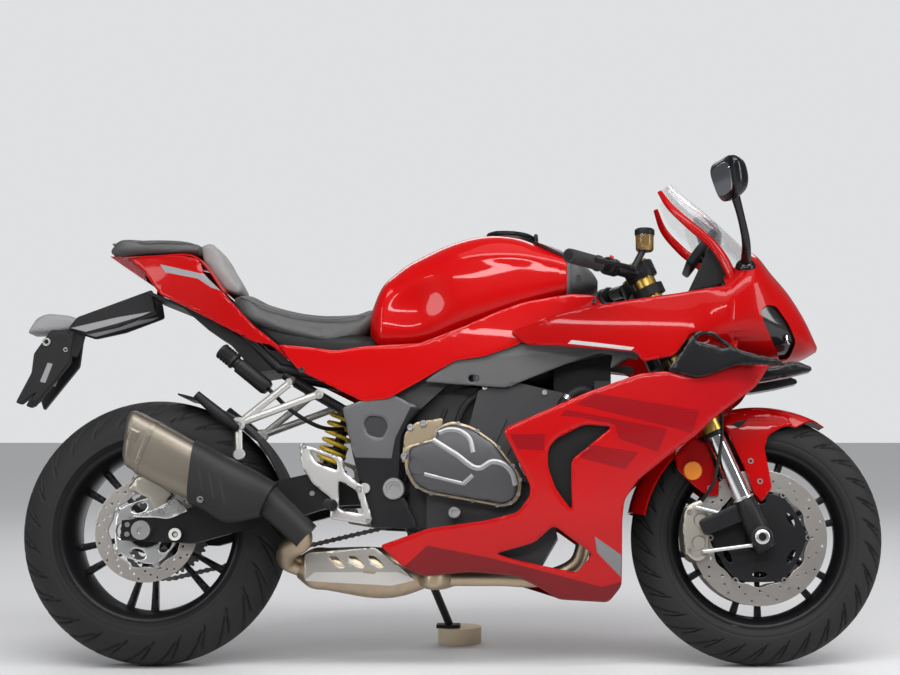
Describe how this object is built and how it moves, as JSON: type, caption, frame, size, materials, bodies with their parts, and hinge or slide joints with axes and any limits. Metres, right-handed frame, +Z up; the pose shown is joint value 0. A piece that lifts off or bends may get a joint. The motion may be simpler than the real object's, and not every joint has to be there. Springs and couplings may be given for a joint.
{
  "type": "sport motorcycle",
  "caption": "Faired sport motorcycle leaning on its side stand, with turning wheels, raked steering fork, folding stand and hinged fuel filler cap; the stand's foot rests on a floor puck.",
  "frame": {"origin": "on the floor, under the middle of the parked bike's bounding box", "axes": "+X forward, +Y to the rider's left, +Z up; the bike leans 7 degrees towards +Y on its side stand"},
  "size_m": [2.0769, 0.7532, 1.183],
  "materials": {
    "painted_red": "glossy red paint",
    "black_metal": "satin black paint",
    "grey_metal": "dark grey paint",
    "black_plastic": "matt black",
    "grey_plastic": "satin dark grey",
    "silver": "satin silver",
    "steel": "brushed",
    "gold": "gold anodised",
    "bronze": "heat tinted",
    "tyre": "black rubber",
    "seat": "textured dark grey",
    "pad": "light grey",
    "lens_red": "dark red lens",
    "lens": "dark lamp lens",
    "clear": "clear",
    "puck": "cream"
  },
  "bodies": {
    "chassis": {"main_frame": "black_metal", "subframe": "black_metal", "engine_block": "grey_metal", "engine_covers": "grey_metal", "radiator": "black_metal", "fuel_tank": "painted_red", "tank_cover": "grey_plastic", "side_panels": "painted_red", "frame_covers": "grey_plastic", "rider_seat": "seat", "backstop_pad": "pad", "pillion_seat": "seat", "tail_cowl": "painted_red", "undertray": "black_plastic", "tail_lamps": "lens_red", "plate_hanger": "black_plastic", "nose_cowl": "painted_red", "headlamps": "lens", "windscreen": "clear", "dash": "black_plastic", "side_fairings": "painted_red", "winglets": "black_plastic", "mirrors": "black_plastic", "exhaust_pipes": "bronze", "catalyst_guard": "silver", "muffler": "bronze", "muffler_shield": "black_metal", "rider_hangers": "silver", "passenger_hangers": "silver", "shock": "gold", "swingarm": "black_metal", "rear_axle": "silver", "rear_caliper": "silver", "rear_hugger": "black_plastic", "chain": "steel", "stand_puck": "puck"},
    "steering": {"fork_tubes": "gold", "fork_legs": "steel", "yokes": "black_metal", "handlebars": "black_metal", "controls": "black_plastic", "front_calipers": "silver", "front_fender": "painted_red"},
    "front_wheel": {"front_rim": "black_metal", "front_tyre": "tyre", "front_discs": "steel"},
    "rear_wheel": {"rear_rim": "black_metal", "rear_tyre": "tyre", "rear_disc": "steel", "sprocket": "steel"},
    "stand": {"side_stand": "black_metal"},
    "filler_lid": {"filler_cap": "black_metal"}
  },
  "joints": [
    {"name": "steering", "type": "hinge", "parent": "chassis", "child": "steering", "pos_m": [0.48332, -0.0343, 0.7941], "axis": [-0.4067, 0.1113, 0.9067], "range_deg": [-22, 22]},
    {"name": "front_wheel_spin", "type": "hinge", "parent": "steering", "child": "front_wheel", "pos_m": [0.7385, -0.09516, 0.29844], "axis": [0, 0.9925, -0.1219], "continuous": true},
    {"name": "rear_wheel_spin", "type": "hinge", "parent": "chassis", "child": "rear_wheel", "pos_m": [-0.6965, -0.09333, 0.31332], "axis": [0, 0.9925, -0.1219], "continuous": true},
    {"name": "side_stand", "type": "hinge", "parent": "chassis", "child": "stand", "pos_m": [-0.0595, 0.02925, 0.236], "axis": [0.3699, 0.5749, 0.7298], "range_deg": [0, 103]},
    {"name": "filler_cap", "type": "hinge", "parent": "chassis", "child": "filler_lid", "pos_m": [0.20991, -0.00599, 1.02463], "axis": [0, 0.9925, -0.1219], "range_deg": [0, 95]}
  ]
}
